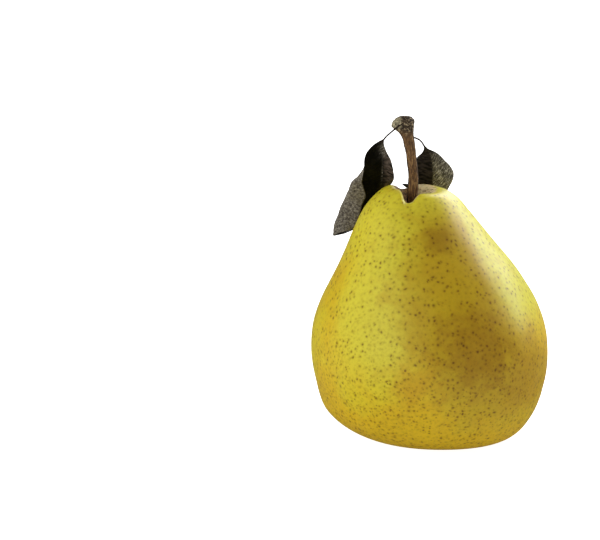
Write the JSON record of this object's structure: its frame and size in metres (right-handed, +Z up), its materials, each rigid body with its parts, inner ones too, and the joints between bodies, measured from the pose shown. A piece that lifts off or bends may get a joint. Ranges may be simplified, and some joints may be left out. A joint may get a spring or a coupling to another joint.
{
  "type": "pear with stem and leaves",
  "caption": "Picked yellow pear standing on its base, with its woody stem, dried leaves and the dried calyx in its eye.",
  "frame": {"origin": "on the table, under the middle of the whole pear's box", "axes": "+Z up along the pear's height; -Y is the front, where the stem's hollow is notched; +X to the right seen from the front"},
  "size_m": [0.0756, 0.0764, 0.1034],
  "materials": {
    "pear_skin": "waxy satin skin, yellow with brown dots",
    "stem_bark": "rough brown bark",
    "dry_leaf": "dried dark leaf, felted grey below",
    "dry_calyx": "dried dark brown sepal"
  },
  "bodies": {
    "root": {"fruit": "pear_skin", "stem": "stem_bark", "left_leaf": "dry_leaf", "right_leaf": "dry_leaf", "sepal_1": "dry_calyx", "sepal_2": "dry_calyx", "sepal_3": "dry_calyx", "sepal_4": "dry_calyx", "sepal_5": "dry_calyx", "stamen_tuft": "dry_calyx"}
  },
  "joints": []
}
